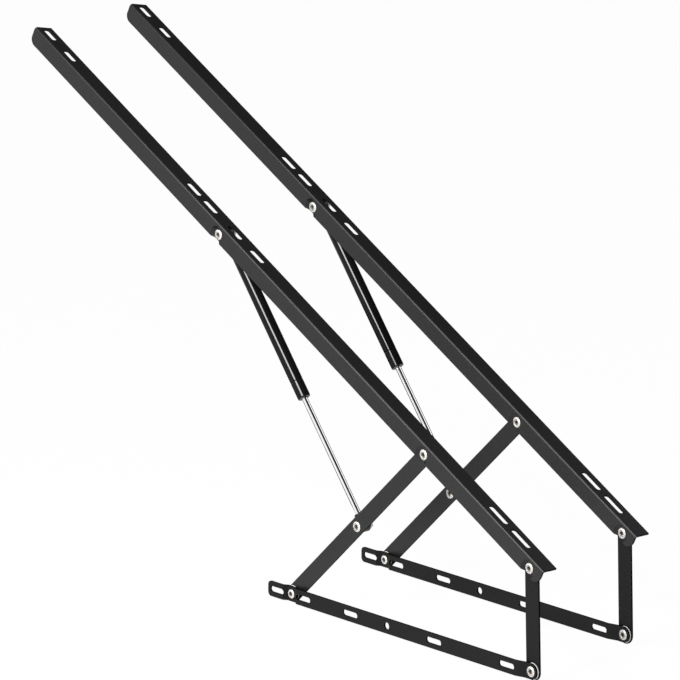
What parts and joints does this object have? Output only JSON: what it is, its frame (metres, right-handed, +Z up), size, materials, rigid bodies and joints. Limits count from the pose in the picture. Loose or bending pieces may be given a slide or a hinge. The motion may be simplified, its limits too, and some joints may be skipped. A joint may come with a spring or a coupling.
{
  "type": "fold down bed mechanism",
  "caption": "Fold down bed lift arms: slotted base bars, pivoting links, slotted angle rails and gas struts, with the joints that raise and fold them.",
  "frame": {"origin": "centre of the front base bar's round hole, on the bar's front face", "axes": "+X along the base bars from the tail to the short link's end, +Y from the front arm to the rear arm, +Z up"},
  "size_m": [1.1277, 0.2426, 0.7196],
  "materials": {
    "black_steel": "satin black powder coat on pressed steel",
    "black_eye": "semi gloss black paint on steel",
    "gloss_tube": "gloss black paint on drawn steel tube",
    "chrome_rod": "hard chrome, ground and polished",
    "zinc": "zinc plated steel",
    "strut_steel": "turned steel",
    "nylon": "natural white nylon",
    "rubber": "moulded rubber"
  },
  "bodies": {
    "root": {"front_base_bar": "black_steel", "front_rivet_a": "zinc", "front_rivet_b": "zinc", "front_washer_a": "nylon", "front_washer_b": "nylon", "rear_base_bar": "black_steel", "rear_rivet_a": "zinc", "rear_rivet_b": "zinc", "rear_washer_a": "nylon", "rear_washer_b": "nylon"},
    "front_short_link": {"front_short_link": "black_steel"},
    "front_rail": {"front_rail": "black_steel", "front_rivet_c_head": "zinc", "front_rivet_d": "zinc", "front_washer_c": "nylon", "front_washer_d": "nylon", "front_strut_rivet_head": "zinc"},
    "front_long_link": {"front_long_link": "black_steel", "front_rivet_c_tail": "zinc", "front_foot_stud": "zinc", "front_foot_spacer": "zinc", "front_foot_washer": "zinc", "front_foot_nut": "zinc"},
    "front_rod": {"front_rod": "chrome_rod", "front_piston": "strut_steel", "front_piston_ring": "rubber", "front_lower_eye": "black_eye"},
    "front_tube": {"front_tube": "gloss_tube", "front_guide_cap": "gloss_tube", "front_rod_guide": "strut_steel", "front_rod_seal": "rubber", "front_upper_eye": "black_eye", "front_strut_rivet_stud": "zinc", "front_upper_nut": "zinc"},
    "rear_short_link": {"rear_short_link": "black_steel"},
    "rear_rail": {"rear_rail": "black_steel", "rear_rivet_c_head": "zinc", "rear_rivet_d": "zinc", "rear_washer_c": "nylon", "rear_washer_d": "nylon", "rear_strut_rivet_head": "zinc"},
    "rear_long_link": {"rear_long_link": "black_steel", "rear_rivet_c_tail": "zinc", "rear_foot_stud": "zinc", "rear_foot_spacer": "zinc", "rear_foot_washer": "zinc", "rear_foot_nut": "zinc"},
    "rear_rod": {"rear_rod": "chrome_rod", "rear_piston": "strut_steel", "rear_piston_ring": "rubber", "rear_lower_eye": "black_eye"},
    "rear_tube": {"rear_tube": "gloss_tube", "rear_guide_cap": "gloss_tube", "rear_rod_guide": "strut_steel", "rear_rod_seal": "rubber", "rear_upper_eye": "black_eye", "rear_strut_rivet_stud": "zinc", "rear_upper_nut": "zinc"}
  },
  "joints": [
    {"name": "front_short_link_swing", "type": "hinge", "parent": "root", "child": "front_short_link", "pos_m": [0.286, 0.0088, 0], "axis": [0, 1, 0], "range_deg": [0, 54.33], "stiffness_Nm_per_rad": 20, "springref_deg": -57.3},
    {"name": "front_rail_tilt", "type": "hinge", "parent": "front_short_link", "child": "front_rail", "pos_m": [0.28182, 0.0088, 0.13994], "axis": [0, 1, 0], "range_deg": [-82.1, 0]},
    {"name": "front_long_link_swing", "type": "hinge", "parent": "root", "child": "front_long_link", "pos_m": [-0.204, 0.0088, 0], "axis": [0, 1, 0], "range_deg": [0, 29.3]},
    {"name": "front_strut_swing", "type": "hinge", "parent": "front_long_link", "child": "front_rod", "pos_m": [-0.07055, 0.02, 0.12228], "axis": [0, 1, 0], "range_deg": [-71.95, 0]},
    {"name": "front_strut_slide", "type": "slide", "parent": "front_rod", "child": "front_tube", "axis": [0.6297, 0, -0.7768], "range_m": [0, 0.1552]},
    {"name": "rear_short_link_swing", "type": "hinge", "parent": "root", "child": "rear_short_link", "pos_m": [0.237, 0.2188, 0], "axis": [0, 1, 0], "range_deg": [0, 54.33], "stiffness_Nm_per_rad": 20, "springref_deg": -57.3},
    {"name": "rear_rail_tilt", "type": "hinge", "parent": "rear_short_link", "child": "rear_rail", "pos_m": [0.23282, 0.2188, 0.13994], "axis": [0, 1, 0], "range_deg": [-82.1, 0]},
    {"name": "rear_long_link_swing", "type": "hinge", "parent": "root", "child": "rear_long_link", "pos_m": [-0.253, 0.2188, 0], "axis": [0, 1, 0], "range_deg": [0, 29.3]},
    {"name": "rear_strut_swing", "type": "hinge", "parent": "rear_long_link", "child": "rear_rod", "pos_m": [-0.11955, 0.23, 0.12228], "axis": [0, 1, 0], "range_deg": [-71.95, 0]},
    {"name": "rear_strut_slide", "type": "slide", "parent": "rear_rod", "child": "rear_tube", "axis": [0.6297, 0, -0.7768], "range_m": [0, 0.1552]}
  ],
  "couplings": [
    {"joint": "front_rail_tilt", "follows": "front_short_link_swing", "ratio": -1.5111},
    {"joint": "front_long_link_swing", "follows": "front_short_link_swing", "ratio": 0.53917},
    {"joint": "front_strut_swing", "follows": "front_short_link_swing", "ratio": -1.324},
    {"joint": "front_strut_slide", "follows": "front_short_link_swing", "m_per_rad": 0.16367},
    {"joint": "rear_rail_tilt", "follows": "rear_short_link_swing", "ratio": -1.5111},
    {"joint": "rear_long_link_swing", "follows": "rear_short_link_swing", "ratio": 0.53917},
    {"joint": "rear_strut_swing", "follows": "rear_short_link_swing", "ratio": -1.324},
    {"joint": "rear_strut_slide", "follows": "rear_short_link_swing", "m_per_rad": 0.16367}
  ]
}
